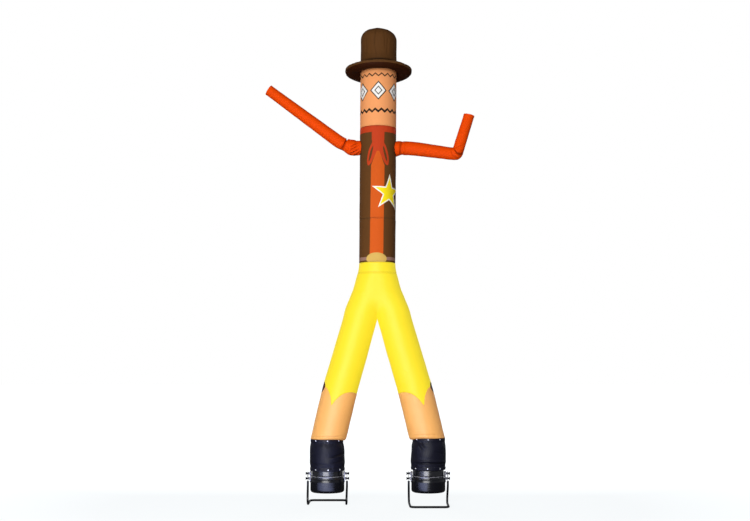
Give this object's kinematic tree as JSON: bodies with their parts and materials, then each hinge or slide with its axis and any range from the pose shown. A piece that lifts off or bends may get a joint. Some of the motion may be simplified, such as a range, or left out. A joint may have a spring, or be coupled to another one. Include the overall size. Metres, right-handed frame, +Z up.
{
  "type": "inflatable air dancer",
  "caption": "Tall inflatable tube figure with a brimmed hat, raised arms and striding legs, each leg sleeved onto an upright blower in a tilting floor stand.",
  "frame": {"origin": "on the floor, at the centre of the bounding box", "axes": "+Z up, the front with the star and the buckle faces -Y, +X to the right as seen from the front, as in the names left and right"},
  "size_m": [2.6434, 0.834, 5.985],
  "materials": {
    "brown_cloth": "dark brown printed nylon, soft sheen",
    "peach_cloth": "peach nylon, soft sheen",
    "yellow_cloth": "bright yellow nylon, soft sheen",
    "orange_cloth": "orange red nylon, soft sheen",
    "black_cloth": "black nylon, matt",
    "black_plastic": "glossy black moulding",
    "black_steel": "satin black paint on steel",
    "silver": "bright nickel plate"
  },
  "bodies": {
    "root": {"arm_left": "orange_cloth", "arm_right": "orange_cloth", "blower_barrel_left": "black_plastic", "blower_barrel_right": "black_plastic", "blower_collar_left": "black_plastic", "blower_collar_right": "black_plastic", "cable_gland_left": "black_plastic", "cable_gland_right": "black_plastic", "chest_tube": "brown_cloth", "hat_brim": "brown_cloth", "hat_crown": "brown_cloth", "head_tube": "peach_cloth", "hip_yoke": "yellow_cloth", "inlet_grille_left": "black_plastic", "inlet_grille_right": "black_plastic", "shin_left": "peach_cloth", "shin_right": "peach_cloth", "side_bracket_left_inner": "black_steel", "side_bracket_left_outer": "black_steel", "side_bracket_right_inner": "black_steel", "side_bracket_right_outer": "black_steel", "sleeve_left": "black_cloth", "sleeve_right": "black_cloth", "stud_left_1": "silver", "stud_left_2": "silver", "stud_left_3": "silver", "stud_left_4": "silver", "stud_left_5": "silver", "stud_left_6": "silver", "stud_left_7": "silver", "stud_left_8": "silver", "stud_right_1": "silver", "stud_right_2": "silver", "stud_right_3": "silver", "stud_right_4": "silver", "stud_right_5": "silver", "stud_right_6": "silver", "stud_right_7": "silver", "stud_right_8": "silver", "trouser_left": "yellow_cloth", "trouser_right": "yellow_cloth", "waist_tube": "brown_cloth"},
    "stand_left": {"stand_left": "black_steel"},
    "knob_left_outer_pivot": {"knob_left_outer_pivot": "black_plastic"},
    "knob_left_outer_lock": {"knob_left_outer_lock": "black_plastic"},
    "knob_left_inner_pivot": {"knob_left_inner_pivot": "black_plastic"},
    "knob_left_inner_lock": {"knob_left_inner_lock": "black_plastic"},
    "stand_right": {"stand_right": "black_steel"},
    "knob_right_outer_pivot": {"knob_right_outer_pivot": "black_plastic"},
    "knob_right_outer_lock": {"knob_right_outer_lock": "black_plastic"},
    "knob_right_inner_pivot": {"knob_right_inner_pivot": "black_plastic"},
    "knob_right_inner_lock": {"knob_right_inner_lock": "black_plastic"}
  },
  "joints": [
    {"name": "tilt_left", "type": "hinge", "parent": "root", "child": "stand_left", "pos_m": [-0.51902, 0, 0.318], "axis": [1, 0, 0], "range_deg": [-30, 30]},
    {"name": "turn_knob_left_outer_pivot", "type": "hinge", "parent": "root", "child": "knob_left_outer_pivot", "pos_m": [-0.76182, 0, 0.318], "axis": [1, 0, 0], "continuous": true},
    {"name": "turn_knob_left_outer_lock", "type": "hinge", "parent": "root", "child": "knob_left_outer_lock", "pos_m": [-0.76182, 0, 0.3785], "axis": [1, 0, 0], "continuous": true},
    {"name": "turn_knob_left_inner_pivot", "type": "hinge", "parent": "root", "child": "knob_left_inner_pivot", "pos_m": [-0.27622, 0, 0.318], "axis": [1, 0, 0], "continuous": true},
    {"name": "turn_knob_left_inner_lock", "type": "hinge", "parent": "root", "child": "knob_left_inner_lock", "pos_m": [-0.27622, 0, 0.3785], "axis": [1, 0, 0], "continuous": true},
    {"name": "tilt_right", "type": "hinge", "parent": "root", "child": "stand_right", "pos_m": [0.72098, 0, 0.318], "axis": [1, 0, 0], "range_deg": [-30, 30]},
    {"name": "turn_knob_right_outer_pivot", "type": "hinge", "parent": "root", "child": "knob_right_outer_pivot", "pos_m": [0.96378, 0, 0.318], "axis": [1, 0, 0], "continuous": true},
    {"name": "turn_knob_right_outer_lock", "type": "hinge", "parent": "root", "child": "knob_right_outer_lock", "pos_m": [0.96378, 0, 0.3785], "axis": [1, 0, 0], "continuous": true},
    {"name": "turn_knob_right_inner_pivot", "type": "hinge", "parent": "root", "child": "knob_right_inner_pivot", "pos_m": [0.47818, 0, 0.318], "axis": [1, 0, 0], "continuous": true},
    {"name": "turn_knob_right_inner_lock", "type": "hinge", "parent": "root", "child": "knob_right_inner_lock", "pos_m": [0.47818, 0, 0.3785], "axis": [1, 0, 0], "continuous": true}
  ]
}
